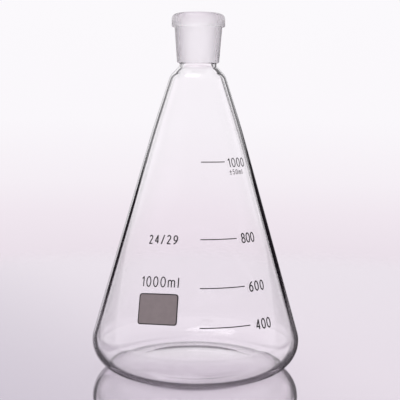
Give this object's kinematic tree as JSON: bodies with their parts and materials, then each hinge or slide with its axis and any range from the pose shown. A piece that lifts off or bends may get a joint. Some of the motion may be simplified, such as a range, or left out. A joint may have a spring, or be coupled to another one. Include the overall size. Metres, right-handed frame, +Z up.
{
  "type": "erlenmeyer flask",
  "caption": "Conical glass laboratory flask with a ground taper socket for a neck, level fill lines and a marking patch fired on the front.",
  "frame": {"origin": "on the plane that the foot ring stands on, under the flask's axis", "axes": "+Z up along the flask's axis, -Y the printed front, +X to the right as one faces the print"},
  "size_m": [0.13, 0.13, 0.22],
  "materials": {
    "glass": "clear fire-polished borosilicate glass, the socket's bore ground matt",
    "line_enamel": "dark fired ceramic enamel",
    "patch_enamel": "matt grey fired ceramic enamel that takes a pencil"
  },
  "bodies": {
    "root": {"flask": "glass", "graduation_lines": "line_enamel", "marking_patch": "patch_enamel"}
  },
  "joints": []
}
